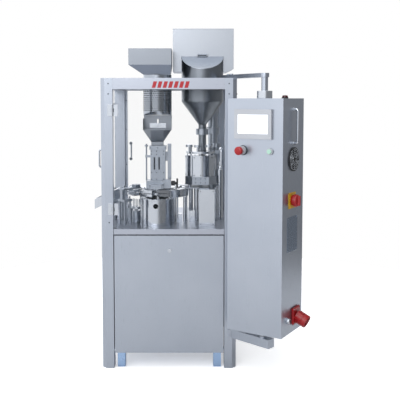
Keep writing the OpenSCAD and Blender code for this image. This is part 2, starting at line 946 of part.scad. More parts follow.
module panel_lock() {
  color(dark) {
    rod_y(4, -3.4, -0.4, 607, 10.5);
    rod_y(4, -0.4, 22, 607, 8);
    box([-4, 18, 600], [38, 22, 614]);
  }
}

// ---------- control cabinet ----------

module cabinet_shell() {
  color(steel)
    cab() {
      difference() {
        box([0, 0, cab_bottom], [cab_w, cab_d - 4, cab_top]);
        box([sheet, sheet, cab_bottom + sheet], [cab_w - sheet, cab_d, cab_top - sheet]);
        rod_x(cab_w - 5, cab_w + 5, cab_d / 2, 1080, 50);
        rod_x(cab_w - 5, cab_w + 5, 110, 882, 8);
        rod(pivot_u, pivot_v, cab_bottom - 5, cab_bottom + 5, 10 + fit);
      }
      box([0, cab_d - 3.7, cab_bottom], [cab_w, cab_d, cab_top]);
    }
}

module cabinet_fittings() {
  color(steel)
    cab() {
      difference() {
        rod(pivot_u, pivot_v, cab_top, cab_top + 36, 37);
        rod(pivot_u, pivot_v, cab_top + 6, cab_top + 40, pipe_d / 2 + fit);
      }
      difference() {
        rod(pivot_u, pivot_v, 213, cab_bottom, 17);
        rod(pivot_u, pivot_v, 200, 300, 10 + fit);
      }
      translate([cab_w, 0, 0]) rotate([0, 0, 90])
        d_handle(cab_d / 2, 1158, 1321, 28, 12);
      box([cab_w, 58, 632], [cab_w + 1.5, 176, 802]);
      for (y = [64, 170], z = [638, 796])
        rod_x(cab_w + 1.5, cab_w + 3.5, y, z, 3);
      difference() {
        rod_x(cab_w, cab_w + 18, 66, 298, 14);
        rod_x(cab_w + 4, cab_w + 20, 66, 298, 7);
      }
      rod_x(cab_w, cab_w + 6, 66, 298, 17);
    }
}

module control_bezels() {
  color(dark)
    cab() {
      difference() {
        box([43, -14, 1179], [239, 0, 1321]);
        box([61, -16, 1204], [221, -9, 1296]);
      }
      difference() {
        rod_y(85, -26, 0, 1123, 21);
        rod_y(85, -30, -1, 1123, 11 + fit);
      }
      difference() {
        rod_y(228, -9, 0, 1122, 16);
        rod_y(228, -30, -1, 1122, 11 + fit);
      }
    }
}

module hmi_screen() {
  color([0.9, 0.92, 0.94])
    cab() box([61.2, -13, 1204.2], [220.8, -9.2, 1295.8]);
}

module estop_head() {
  color(red)
    cab() {
      rod_y(85, -48, -8, 1123, 11);
      rod_y(85, -58, -40, 1123, 20.5);
    }
}

module start_button() {
  color([0.6, 0.85, 0.7])
    cab() rod_y(228, -14, -5, 1122, 11);
}

module isolator_plate() {
  color([0.9, 0.75, 0.1])
    cab()
      difference() {
        box([cab_w, 71, 844], [cab_w + 3, 149, 920]);
        rod_x(cab_w - 5, cab_w + 5, 110, 882, 5 + fit);
      }
}

module isolator_knob() {
  color(red)
    cab() {
      rod_x(cab_w + 3.5, cab_w + 22, 110, 882, 30);
      rod_x(cab_w - 6, cab_w + 4, 110, 882, 5);
      box([cab_w + 22, 101, 850], [cab_w + 44, 119, 914]);
    }
}

module fan_guard() {
  cy = cab_d / 2;
  color(dark)
    cab() {
      difference() {
        rod_x(cab_w, cab_w + 6, cy, 1080, 58);
        rod_x(cab_w - 1, cab_w + 9, cy, 1080, 52);
      }
      difference() {
        rod_x(cab_w + 3, cab_w + 5.8, cy, 1080, 52.5);
        for (r = [16, 34])
          difference() {
            rod_x(cab_w + 1, cab_w + 8, cy, 1080, r + 14);
            rod_x(cab_w, cab_w + 9, cy, 1080, r);
            for (a = [0, 90])
              translate([cab_w, cy, 1080]) rotate([a + 45, 0, 0])
                translate([0, -2, -60]) cube([9, 4, 120]);
          }
      }
      rod_x(cab_w + 1, cab_w + 8, cy, 1080, 8);
      rod_x(cab_w - 28, cab_w + 2, cy, 1080, 3);
    }
}

module fan_rotor() {
  cy = cab_d / 2;
  color(dark)
    cab()
      translate([cab_w - 26, cy, 1080])
        difference() {
          union() {
            rod_x(0, 22, 0, 0, 18);
            for (k = [0 : 4])
              rotate([k * 72, 0, 0]) translate([11, 0, 0]) rotate([0, 0, 32])
                translate([-10, -1, 15]) cube([20, 2.4, 31]);
          }
          rod_x(-1, 23, 0, 0, 3 + fit);
        }
}

module inlet_and_lamp() {
  color(red)
    cab() {
      box([cab_w, 118, 263], [cab_w + 12, 202, 347]);
      difference() {
        translate([cab_w + 6, 160, 305]) rotate([0, 115, 0]) cylinder(r = 32, h = 66);
        translate([cab_w + 6, 160, 305]) rotate([0, 115, 0]) translate([0, 0, 30])
          cylinder(r = 27, h = 66);
        box([cab_w - 60, 100, 200], [cab_w, 220, 400]);
      }
      rod(234, 153, cab_top, cab_top + 16, 16.5);
    }
}

// ---------- what is drawn ----------

place() posts();
place() top_frame();
place() table_plate();
place() base();
place() lower_panels();
place() right_window();
place() hinge_leaves();
place() upper_arm();
place() lower_arm();
place() powder_bin();
place() bin_lid();
place() powder_hopper();
place() hopper_lid();
place() auger_screw();
place() support_column();
place() capsule_hopper();
place() sieve_drum();
place() feed_chute();
place() feed_gate();
place() sorter_frame();
place() capsule_magazine();
place() sorter_block();
place() clamp_handle();
place() turret_cover();
place() turret_disc();
place() segments();
place() turret_guards();
place() station_housings();
place() closing_pins();
place() ejector_pins();
place() discharge_chute();
place() dosing_base();
place() dosing_disc();
place() dosing_housing();
place() tamping_head();
place() station_columns();
place() main_motor();
place() indexers();
place() camshaft();
place() vacuum_pump();
place() front_door();
place() front_door_fittings();
place() left_door();
place() left_door_fittings();
place() rear_door();
place() rear_door_fittings();
place() front_panel();
place() panel_lock();
place() cabinet_shell();
place() cabinet_fittings();
place() control_bezels();
place() hmi_screen();
place() estop_head();
place() start_button();
place() isolator_plate();
place() isolator_knob();
place() fan_guard();
place() fan_rotor();
place() inlet_and_lamp();
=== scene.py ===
# %% [markdown]
# # A capsule filling machine
# The frame of the machine comes from its CAD model. This lesson gives it its metals, plastics and
# clear walls, and adds the small parts that the CAD model leaves out: screws, sieve holes, springs,
# bent handles and pipes. Everything is in metres in the frame of the CAD model.

# %% Load the frame
import bpy
import bmesh
import math
from mathutils import Matrix, Vector


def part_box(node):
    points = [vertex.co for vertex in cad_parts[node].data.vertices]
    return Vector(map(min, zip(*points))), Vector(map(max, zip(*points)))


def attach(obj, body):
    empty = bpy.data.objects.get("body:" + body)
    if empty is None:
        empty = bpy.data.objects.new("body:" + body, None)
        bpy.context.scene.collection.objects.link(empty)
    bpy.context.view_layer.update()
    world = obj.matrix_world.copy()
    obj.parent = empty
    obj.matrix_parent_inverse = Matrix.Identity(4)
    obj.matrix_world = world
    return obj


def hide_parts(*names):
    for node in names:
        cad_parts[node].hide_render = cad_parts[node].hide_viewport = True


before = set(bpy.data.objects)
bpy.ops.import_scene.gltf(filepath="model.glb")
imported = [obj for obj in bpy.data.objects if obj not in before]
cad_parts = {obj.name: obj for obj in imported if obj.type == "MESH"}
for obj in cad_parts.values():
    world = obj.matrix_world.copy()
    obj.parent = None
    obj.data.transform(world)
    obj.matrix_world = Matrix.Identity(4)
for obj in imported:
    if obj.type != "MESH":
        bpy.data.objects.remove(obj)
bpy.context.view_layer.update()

# %% [markdown]
# Two helpers carry every material. One turns a familiar hex colour into the linear values that
# Blender mixes light with. The other adds a node, sets it and wires it in one line.

# %% Colour and node helpers
def linear(code):
    parts = [int(code[i:i + 2], 16) / 255 for i in (1, 3, 5)]
    return tuple(c / 12.92 if c <= 0.04045 else ((c + 0.055) / 1.055) ** 2.4 for c in parts) + (1.0,)


def add(tree, kind, settings=None, links=None):
    node = tree.nodes.new(kind)
    for key, value in (settings or {}).items():
        if isinstance(key, int) or (key in node.inputs and not hasattr(node, str(key))):
            node.inputs[key].default_value = value
        else:
            setattr(node, key, value)
    for key, socket in (links or {}).items():
        tree.links.new(socket, node.inputs[key])
    return node


def new_material(name):
    material = bpy.data.materials.new(name)
    material.use_nodes = True
    material.node_tree.nodes.clear()
    return material, material.node_tree


def close(tree, shader):
    add(tree, "ShaderNodeOutputMaterial", links={"Surface": shader.outputs[0]})

# %% [markdown]
# Most of the machine is stainless steel. A belt sander leaves fine parallel scratches on the
# sheets: long along the grain, a fraction of a millimetre across it. Noise stretched along one axis
# draws them. The scratches are drawn about 1.5 mm wide here, coarser than life, so that they show.
# Larger, softer noise adds the faint clouds that handling leaves. The Bevel node rounds the sharp
# CAD edges, so that each folded edge catches a line of light.

# %% Metal recipes
def metal(name, colour, dark, rough, grain=(1, 1, 1), scratch=0.05, edge=0.0012, bump=0.04):
    material, tree = new_material(name)
    place = add(tree, "ShaderNodeTexCoord")
    turn = add(tree, "ShaderNodeMapping", {"Scale": grain}, {"Vector": place.outputs["Object"]})
    fine = add(tree, "ShaderNodeTexNoise", {"Scale": 1.0, "Detail": 3.0, "Roughness": 0.6},
               {"Vector": turn.outputs[0]})
    cloud = add(tree, "ShaderNodeTexNoise", {"Scale": 5.0, "Detail": 2.0},
                {"Vector": place.outputs["Object"]})
    tint = add(tree, "ShaderNodeMix", {"data_type": "RGBA", 6: linear(dark), 7: linear(colour)},
               {0: cloud.outputs["Fac"]})
    spread = add(tree, "ShaderNodeMapRange", {"To Min": rough - scratch, "To Max": rough + scratch,
                 "From Min": 0.3, "From Max": 0.7}, {"Value": fine.outputs["Fac"]})
    round_edge = add(tree, "ShaderNodeBevel", {"samples": 4, "Radius": edge})
    relief = add(tree, "ShaderNodeBump", {"Strength": bump, "Distance": 0.0002},
                 {"Height": fine.outputs["Fac"], "Normal": round_edge.outputs[0]})
    skin = add(tree, "ShaderNodeBsdfPrincipled", {"Metallic": 1.0},
               {"Base Color": tint.outputs[2], "Roughness": spread.outputs[0],
                "Normal": relief.outputs[0]})
    close(tree, skin)
    return material


# Sheet stainless, number 4 finish, grain running upright: satin, grey with a blue cast.
brushed_upright = metal("brushed_stainless_upright", "#b4bac4", "#aab1bc", 0.33, (650, 650, 9), 0.06)
# The same sheet with its grain across, used on the table edge and the top beams.
brushed_across = metal("brushed_stainless_across", "#b4b8c2", "#a9afba", 0.33, (9, 650, 650), 0.06)
# Polished 304 stainless on turned and stamped parts: brighter, with faint polishing haze.
polished_stainless = metal("polished_stainless", "#c9cdd3", "#b6bbc2", 0.14, (180, 180, 180), 0.04)
# Polished sheet of the sieve drum and the hopper lid: clear reflections with a slight wave.
mirror_stainless = metal("mirror_stainless", "#a6abb2", "#959ba4", 0.18, (60, 60, 24), 0.035,
                         bump=0.08)
# The powder bin: satin sheet with a short grain, a little softer than the frame.
satin_stainless = metal("satin_stainless", "#b2b7be", "#a8adb5", 0.3, (300, 300, 300), 0.03, bump=0.01)
# Capsule hopper and feed chute: bent from duller sheet.
dull_stainless = metal("dull_stainless", "#90959c", "#868b93", 0.34, (300, 300, 300), 0.04, bump=0.01)
# Milled aluminium tooling plate: light, fine crossed cutter marks.
milled_aluminium = metal("milled_aluminium", "#a9afb8", "#8e959f", 0.32, (420, 60, 420), 0.08)
# Powder hopper: spun sheet with a satin finish. Its colour is darker than the other steel: painted shade,
# because it faces the dark side.
spun_stainless_with_painted_shade = metal("spun_stainless_with_painted_shade", "#7f848a", "#747980", 0.3, (7, 7, 170), 0.012, bump=0.002)
# The feet still carry the blue film that protects new sheet.
filmed_steel = metal("blue_filmed_steel", "#b3cdee", "#a3bfe4", 0.24, (60, 60, 20), 0.05, bump=0.08)
# The blank rating plate: anodised sheet under the same film.
filmed_plate = metal("blue_filmed_plate", "#93a0b1", "#8593a6", 0.26, (160, 160, 160), 0.05)
print("metals", 10)

# %% [markdown]
# Moulded and painted parts are not metal: light scatters inside them, so their colour stays put and
# only a thin white gloss lies on top. A fine noise in the bump is the spark-eroded texture of the
# mould, about half a millimetre in the real thing.

# %% Plastic, paint and casting recipes
def moulded(name, colour, dark, rough, grain_mm=0.8, bump=0.15, edge=0.0008, glow=0.0):
    material, tree = new_material(name)
    place = add(tree, "ShaderNodeTexCoord")
    grain = add(tree, "ShaderNodeTexNoise", {"Scale": 1000 / grain_mm / 4, "Detail": 2.0},
                {"Vector": place.outputs["Object"]})
    cloud = add(tree, "ShaderNodeTexNoise", {"Scale": 12.0, "Detail": 2.0},
                {"Vector": place.outputs["Object"]})
    tint = add(tree, "ShaderNodeMix", {"data_type": "RGBA", 6: linear(dark), 7: linear(colour)},
               {0: cloud.outputs["Fac"]})
    round_edge = add(tree, "ShaderNodeBevel", {"samples": 4, "Radius": edge})
    relief = add(tree, "ShaderNodeBump", {"Strength": bump, "Distance": 0.0001},
                 {"Height": grain.outputs["Fac"], "Normal": round_edge.outputs[0]})
    skin = add(tree, "ShaderNodeBsdfPrincipled", {"Roughness": rough, "Emission Color": linear(colour),
               "Emission Strength": glow}, {"Base Color": tint.outputs[2], "Normal": relief.outputs[0]})
    close(tree, skin)
    return material


# Glass-filled nylon of the bezels, knobs and fan: nearly black, dull. The same material is painted shade
# in the sieve holes.
black_nylon_and_hole_shade = moulded("black_glass_filled_nylon_and_hole_shade", "#1c1d20", "#121315", 0.42)
# Glossy ABS of the stop button, isolator and power socket.
red_abs = moulded("signal_red_abs", "#a51219", "#8d0d13", 0.3, bump=0.05)
# The lamp on the cabinet, switched off: a dark red lens.
dark_lens = moulded("dark_red_lens", "#4a0c14", "#3c0910", 0.18, bump=0.02)
# The isolator's backing plate.
yellow_abs = moulded("signal_yellow_abs", "#d9ac1d", "#c79a12", 0.35, bump=0.05)
# The lens of the start button: milky green polycarbonate.
green_lens = moulded("milky_green_polycarbonate", "#a9cdbd", "#98c2b0", 0.2, bump=0.03, glow=0.05)
# The switched-on touch screen: an even white glow under matt glass.
lit_screen = moulded("touch_screen_glass", "#eef1f5", "#e6eaef", 0.25, bump=0.02, glow=0.55)
# Hammer-textured paint on the motor.
motor_paint = moulded("motor_enamel", "#2c4660", "#243a52", 0.38, grain_mm=4, bump=0.4)
# Sand-cast iron housings, primed dark grey.
cast_iron = moulded("primed_cast_iron", "#4a4e52", "#3a3e42", 0.6, grain_mm=3, bump=0.6)
# Light grey housing of the touch panel and the button collars.
grey_nylon = moulded("grey_nylon", "#b6b9bf", "#aaadb3", 0.42, bump=0.05)
# Dark anodised faces and slots. The same dark finish is painted shade inside the screw sockets.
dark_anodised_and_socket_shade = metal("dark_anodised_aluminium_and_socket_shade", "#44484e", "#34373c", 0.38, (90, 90, 90), 0.05)
# Red enamel of the plain bars on the top beam.
red_enamel = moulded("red_enamel", "#b5232c", "#a31c25", 0.3, bump=0.03)
print("plastics and paints", 11)

# %% [markdown]
# The walls of the cabin are 6 mm cast acrylic. Seen square on, acrylic of this thickness all but
# disappears; only a weak reflection tells that it is there. A low alpha on a glossy, colourless
# plastic gives that and lets the light through to the stations.

# %% Clear acrylic
def clear_sheet(name, colour, alpha):
    material, tree = new_material(name)
    place = add(tree, "ShaderNodeTexCoord")
    haze = add(tree, "ShaderNodeTexNoise", {"Scale": 9.0, "Detail": 2.0},
               {"Vector": place.outputs["Object"]})
    wipe = add(tree, "ShaderNodeMapRange", {"To Min": 0.02, "To Max": 0.07},
               {"Value": haze.outputs["Fac"]})
    skin = add(tree, "ShaderNodeBsdfPrincipled", {"Base Color": linear(colour), "IOR": 1.49,
               "Alpha": alpha}, {"Roughness": wipe.outputs[0]})
    close(tree, skin)
    return material


cast_acrylic = clear_sheet("cast_acrylic", "#7f8a90", 0.02)
print("clear", cast_acrylic.name)

# %% [markdown]
# Every CAD node now gets its real finish. The list reads as a parts list: finish first, then nodes.

# %% Dress the CAD nodes
finishes = {
    brushed_upright: "posts lower_panels upper_arm lower_arm front_panel cabinet_shell",
    filmed_steel: "base",
    brushed_across: "top_frame table_plate",
    polished_stainless: "hinge_leaves auger_screw feed_gate turret_cover turret_disc segments "
        "turret_guards closing_pins ejector_pins discharge_chute dosing_disc dosing_housing "
        "tamping_head station_columns camshaft front_door_fittings left_door_fittings "
        "rear_door_fittings cabinet_fittings panel_lock",
    mirror_stainless: "hopper_lid sieve_drum",
    spun_stainless_with_painted_shade: "powder_hopper",
    satin_stainless: "powder_bin bin_lid",
    dull_stainless: "capsule_hopper feed_chute",
    milled_aluminium: "support_column sorter_frame sorter_block station_housings dosing_base",
    dark_anodised_and_socket_shade: "capsule_magazine",
    cast_acrylic: "right_window front_door left_door rear_door",
    black_nylon_and_hole_shade: "clamp_handle fan_guard fan_rotor",
    grey_nylon: "control_bezels",
    red_abs: "estop_head isolator_knob inlet_and_lamp",
    yellow_abs: "isolator_plate",
    green_lens: "start_button",
    lit_screen: "hmi_screen",
    motor_paint: "main_motor",
    cast_iron: "indexers vacuum_pump",
}
dressed = 0
for finish, names in finishes.items():
    for name in names.split():
        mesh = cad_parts[name].data
        mesh.materials.clear()
        mesh.materials.append(finish)
        dressed += 1
print("dressed", dressed, "of", len(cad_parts))

# %% [markdown]
# The camera stands about three and a half metres in front, at the height of the cabinet top, as
# a photographer would to keep the posts upright. The floor is plain, the light soft and white: one
# large panel on the left, one above, and a dim sky that is darker to the right, which is what puts
# the dark side on the hoppers and on the cabinet. The floor is greyer in reflections than it is to
# the eye, so that the steel doesn't glow near the ground.

# %% Stage
scene = bpy.context.scene
post_lo, post_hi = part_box("posts")
middle_x = (post_lo.x + post_hi.x) / 2
front_y = post_lo.y
camera_data = bpy.data.cameras.new("camera")
camera_data.sensor_width = 36
camera_data.lens = 36 * 709 / 400
camera = bpy.data.objects.new("camera", camera_data)
scene.collection.objects.link(camera)
camera.location = (middle_x + 0.112, front_y - 3.528, 1.373)
camera_data.shift_x = 0.022
tilt = math.radians(4.2)
camera.rotation_euler = (math.pi / 2 - tilt, 0, 0)
camera_data.shift_y = -0.124
scene.camera = camera


def floor_paint(glow, mirrored):
    # White to the eye, greyer in the reflections that the machine makes of it.
    material, tree = new_material("pale_floor")
    path = add(tree, "ShaderNodeLightPath")
    seen = path.outputs["Is Camera Ray"]
    tone = add(tree, "ShaderNodeMapRange", {"To Min": mirrored}, {"Value": seen})
    shine = add(tree, "ShaderNodeMath", {"operation": "MULTIPLY", 1: glow}, {0: seen})
    close(tree, add(tree, "ShaderNodeBsdfPrincipled", {"Roughness": 0.9, "Emission Color": (1, 1, 1, 1)},
                    {"Base Color": tone.outputs[0], "Emission Strength": shine.outputs[0]}))
    return material


def floor_mesh(radius, steps=96):
    mesh = bpy.data.meshes.new("floor")
    rim = [(radius * math.cos(2 * math.pi * k / steps), radius * math.sin(2 * math.pi * k / steps), 0)
           for k in range(steps)]
    mesh.from_pydata(rim, [], [tuple(range(steps))])
    return mesh


floor = bpy.data.objects.new("floor", floor_mesh(2.4))
scene.collection.objects.link(floor)
floor.location.z = -0.0005
floor.data.materials.append(floor_paint(0.4, 0.66))


def panel_light(name, place, target, size, power):
    data = bpy.data.lights.new(name, "AREA")
    data.shape = "RECTANGLE"
    data.size, data.size_y = size
    data.energy = power
    lamp = bpy.data.objects.new(name, data)
    scene.collection.objects.link(lamp)
    lamp.location = place
    lamp.rotation_euler = (Vector(target) - Vector(place)).to_track_quat("-Z", "Y").to_euler()
    return lamp


panel_light("front_panel", (-1.5, -4.2, 3.0), (0, 0, 0.9), (2.6, 2.0), 44)
panel_light("top_panel", (0.0, -0.6, 3.9), (0, 0, 0.8), (3.2, 3.2), 34)
print("camera", [round(v, 3) for v in camera.location])

# %% Sky
world = bpy.data.worlds.new("studio")
world.use_nodes = True
scene.world = world
sky = world.node_tree
sky.nodes.clear()
look = add(sky, "ShaderNodeTexCoord")
parts = add(sky, "ShaderNodeSeparateXYZ", links={"Vector": look.outputs["Generated"]})


def ramp(axis, start, stop, low, high, smooth="SMOOTHSTEP"):
    return add(sky, "ShaderNodeMapRange", {"From Min": start, "From Max": stop, "To Min": low,
               "To Max": high, "interpolation_type": smooth}, {"Value": parts.outputs[axis]}).outputs[0]


def joined(how, one, two):
    return add(sky, "ShaderNodeMath", {"operation": how}, {0: one, 1: two}).outputs[0]


left_to_right = ramp("X", -0.1, 0.42, 1.15, 0.3)
rear_wall = joined("MULTIPLY", ramp("Y", 0.1, 0.5, 0.0, 1.1), ramp("X", 0.1, 0.5, 1.0, 0.07))
around = joined("MAXIMUM", left_to_right, rear_wall)
strength = joined("MULTIPLY", around, ramp("Z", -0.35, 0.05, 0.7, 1.3, "LINEAR"))
dim = add(sky, "ShaderNodeBackground", {"Color": (0.96, 0.973, 1.0, 1)}, {"Strength": strength})
white = add(sky, "ShaderNodeBackground", {"Color": (1, 1, 1, 1), "Strength": 1.0})
path = add(sky, "ShaderNodeLightPath")
pick = add(sky, "ShaderNodeMixShader", links={0: path.outputs["Is Camera Ray"], 1: dim.outputs[0],
           2: white.outputs[0]})
add(sky, "ShaderNodeOutputWorld", links={"Surface": pick.outputs[0]})
scene.view_settings.view_transform = "Standard"
print("sky ready")

# %% [markdown]
# The small pieces are placed in machine coordinates, in millimetres, counted from the middle of the
# front posts at floor level. The corner comes from the CAD boxes, so nothing here has to be fitted.
# The control cabinet stands at an angle, so it has coordinates of its own: along its front, into
# its depth, and up. Its corner and its sides follow from its CAD box and its angle of 31.5 degrees.

# %% Where things are
def at(x, y, z):
    return Vector((middle_x + x / 1000, front_y + y / 1000, z / 1000))


swing = math.radians(31.5)
shell_lo, shell_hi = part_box("cabinet_shell")
span_x, span_y = shell_hi.x - shell_lo.x, shell_hi.y - shell_lo.y
turned = math.cos(swing) ** 2 - math.sin(swing) ** 2
shell_w = (span_x * math.cos(swing) - span_y * math.sin(swing)) / turned
shell_d = (span_y * math.cos(swing) - span_x * math.sin(swing)) / turned
shell_corner = Vector((shell_lo.x, shell_lo.y + shell_w * math.sin(swing), 0))
along = Vector((math.cos(swing), -math.sin(swing), 0))
inward = Vector((math.sin(swing), math.cos(swing), 0))


def on_cabinet(u, v, z):
    return shell_corner + along * (u / 1000) + inward * (v / 1000) + Vector((0, 0, z / 1000))


cab_w, cab_d = shell_w * 1000, shell_d * 1000
print("cabinet width and depth in mm", round(cab_w, 1), round(cab_d, 1))

# %% [markdown]
# Four small makers cover most of the hand-built pieces: a turned shape spun from its profile, a
# slab with softened edges set along any three directions, a bar bent along a path, and a finisher
# that makes the mesh an object, lets it ride on its CAD body and names the finish that it takes.

# %% Makers
def turned_part(bm, profile, centre, axis, steps=48):
    axis = Vector(axis).normalized()
    side = axis.orthogonal().normalized()
    up = axis.cross(side)
    rings = []
    for radius, rise in profile:
        middle = Vector(centre) + axis * (rise / 1000)
        if radius < 1e-6:
            rings.append([bm.verts.new(middle)])
            continue
        rings.append([bm.verts.new(middle + (side * math.cos(a) + up * math.sin(a)) * (radius / 1000))
                      for a in (2 * math.pi * k / steps for k in range(steps))])
    for one, two in zip(rings, rings[1:]):
        for k in range(steps):
            n = (k + 1) % steps
            corners = [one[k % len(one)], one[n % len(one)], two[n % len(two)], two[k % len(two)]]
            corners = [c for i, c in enumerate(corners) if c not in corners[:i]]
            if len(corners) > 2:
                bm.faces.new(corners)


def slab(bm, corner, sides, soft=0.0006, segments=2):
    # The three sides are vectors that start at the corner.
    made = bmesh.ops.create_cube(bm, size=1.0)["verts"]
    for v in made:
        v.co = corner + sum((way * (v.co[i] + 0.5) for i, way in enumerate(sides)), Vector())
    bmesh.ops.bevel(bm, geom=list({e for v in made for e in v.link_edges}), offset=soft,
                    segments=segments, affect="EDGES")


def bent_bar(bm, points, radius, steps=16):
    points = [Vector(p) for p in points]
    ring_before, first = None, None
    guide = (points[1] - points[0]).orthogonal().normalized()
    for k, point in enumerate(points):
        before = points[max(k - 1, 0)]
        after = points[min(k + 1, len(points) - 1)]
        way = (after - before).normalized()
        guide = (guide - way * guide.dot(way)).normalized()
        other = way.cross(guide)
        ring = [bm.verts.new(point + (guide * math.cos(a) + other * math.sin(a)) * (radius / 1000))
                for a in (2 * math.pi * s / steps for s in range(steps))]
        if ring_before:
            for s in range(steps):
                n = (s + 1) % steps
                bm.faces.new([ring_before[s], ring_before[n], ring[n], ring[s]])
        else:
            first = ring
        ring_before = ring
    bm.faces.new(list(reversed(first)))
    bm.faces.new(ring_before)


def finish_piece(name, bm, finish, body, replaces=(), smooth=35):
    bmesh.ops.remove_doubles(bm, verts=bm.verts, dist=1e-6)
    bmesh.ops.recalc_face_normals(bm, faces=bm.faces)
    mesh = bpy.data.meshes.new(name)
    bm.to_mesh(mesh)
    bm.free()
    mesh.materials.append(finish)
    mesh.shade_smooth()
    mesh.set_sharp_from_angle(angle=math.radians(smooth))
    obj = bpy.data.objects.new(name, mesh)
    bpy.context.scene.collection.objects.link(obj)
    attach(obj, body)
    if replaces:
        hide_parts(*replaces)
    print(name, len(mesh.polygons), "faces")
    return obj


def arc(centre, one, two, radius, start, stop, steps=6):
    return [centre + (one * math.cos(a) + two * math.sin(a)) * radius
            for a in (math.radians(start + (stop - start) * k / steps) for k in range(steps + 1))]

# %% [markdown]
# A D handle is one round bar bent twice. A path with a quarter circle at each end gives the bend;
# two washers cover the holes where it is screwed on from inside. The same maker serves the three
# doors and the cabinet, so the CAD handles, which are straight bars, are replaced.

# %% Bent handles
def d_handle(bm, foot, out, low, high, stand, bar):
    bend = 0.012
    up = Vector((0, 0, 1))
    base_low, base_high = foot + up * low / 1000, foot + up * high / 1000
    reach = stand / 1000 - bar / 2000
    path = [base_low]
    path += arc(base_low + out * (reach - bend) + up * bend, out, up, bend, -90, 0)
    path += arc(base_high + out * (reach - bend) - up * bend, out, up, bend, 0, 90)
    path.append(base_high)
    bent_bar(bm, path, bar / 2)
    for base in (base_low, base_high):
        washer = [(0, 0), (bar * 0.95, 0), (bar * 0.95, 1.6), (bar * 0.8, 2.2), (0, 2.2)]
        turned_part(bm, washer, base, out, 24)


def hinge_half(bm, corner, out, way, z, height):
    # The leaf on the pane, its knuckle in the middle third, and the barrel of the pin.
    foot = corner + Vector((0, 0, z / 1000))
    slab(bm, foot + way * 0.006, (way * 0.021, out * 0.003, Vector((0, 0, height / 1000))))
    slab(bm, foot + Vector((0, 0, 0.0194)),
         (way * 0.008, out * 0.003, Vector((0, 0, height / 1000 - 0.0388))), 0.0003)
    turned_part(bm, [(0, 19.4), (4.6, 19.4), (5, 19.9), (5, height - 19.9), (4.6, height - 19.4),
                     (0, height - 19.4)], corner + out * 0.006 + Vector((0, 0, z / 1000)), (0, 0, 1), 24)


doors = {
    "front_door": (at(-280, 0, 0), Vector((0, -1, 0)), Vector((1, 0, 0)), 541, 1026, 1120),
    "left_door": (at(-340, 660, 0), Vector((-1, 0, 0)), Vector((0, -1, 0)), 516, 1015, 1109),
    "rear_door": (at(280, 720, 0), Vector((0, 1, 0)), Vector((-1, 0, 0)), 530, 1010, 1104),
}
for door, (corner, out, way, reach, low, high) in doors.items():
    bm = bmesh.new()
    d_handle(bm, corner + way * reach / 1000, out, low, high, 30, 10)
    for z in (789, 1285):
        hinge_half(bm, corner, out, way, z, 58)
    finish_piece(door + "_hardware", bm, polished_stainless, door, [door + "_fittings"])

# %% [markdown]
# Screws repeat by the dozen, so Geometry Nodes place them. The tree takes a cloud of points, each
# with the direction that it faces, and puts a cap screw on each: a short cylinder for the head and
# a smaller dark one, painted shade inside its socket. The head's radius and height are inputs of the
# tree. Realize Instances turns the copies into plain mesh, which is then frozen for the export.

# %% Screw tree
def tree_inputs(tree, names):
    for name, kind in names:
        tree.interface.new_socket(name, in_out="INPUT", socket_type=kind)
    tree.interface.new_socket("Geometry", in_out="OUTPUT", socket_type="NodeSocketGeometry")
    return add(tree, "NodeGroupInput"), add(tree, "NodeGroupOutput")


def screw_tree():
    tree = bpy.data.node_groups.new("cap_screws", "GeometryNodeTree")
    given, result = tree_inputs(tree, [("Geometry", "NodeSocketGeometry"),
        ("Head Radius", "NodeSocketFloat"), ("Head Height", "NodeSocketFloat"),
        ("Head Finish", "NodeSocketMaterial"), ("Socket Shade Finish", "NodeSocketMaterial")])
    radius, height = given.outputs["Head Radius"], given.outputs["Head Height"]
    head = add(tree, "GeometryNodeMeshCylinder", {"Vertices": 16}, {"Radius": radius, "Depth": height})
    head_up = add(tree, "ShaderNodeCombineXYZ", links={"Z": height})
    head_mat = add(tree, "GeometryNodeSetMaterial", links={"Geometry": head.outputs[0],
                   "Material": given.outputs["Head Finish"]})
    # The socket is a dark cylinder a little taller than the head: painted shade inside the socket.
    hole_r = add(tree, "ShaderNodeMath", {"operation": "MULTIPLY", 1: 0.5}, {0: radius})
    hole_h = add(tree, "ShaderNodeMath", {"operation": "MULTIPLY", 1: 1.06}, {0: height})
    hole = add(tree, "GeometryNodeMeshCylinder", {"Vertices": 6}, {"Radius": hole_r.outputs[0],
               "Depth": hole_h.outputs[0]})
    hole_mat = add(tree, "GeometryNodeSetMaterial", links={"Geometry": hole.outputs[0],
                   "Material": given.outputs["Socket Shade Finish"]})
    screw = add(tree, "GeometryNodeJoinGeometry", links={0: head_mat.outputs[0]})
    tree.links.new(hole_mat.outputs[0], screw.inputs[0])
    half = add(tree, "ShaderNodeVectorMath", {"operation": "SCALE", "Scale": 0.5},
               {0: head_up.outputs[0]})
    raised = add(tree, "GeometryNodeTransform", links={"Geometry": screw.outputs[0],
                 "Translation": half.outputs[0]})
    facing = add(tree, "GeometryNodeInputNamedAttribute", {"data_type": "FLOAT_VECTOR", "Name": "facing"})
    turn = add(tree, "FunctionNodeAlignRotationToVector", {"axis": "Z"}, {"Vector": facing.outputs[0]})
    copies = add(tree, "GeometryNodeInstanceOnPoints", links={"Points": given.outputs["Geometry"],
                 "Instance": raised.outputs[0], "Rotation": turn.outputs[0]})
    real = add(tree, "GeometryNodeRealizeInstances", links={0: copies.outputs[0]})
    tree.links.new(real.outputs[0], result.inputs[0])
    return tree


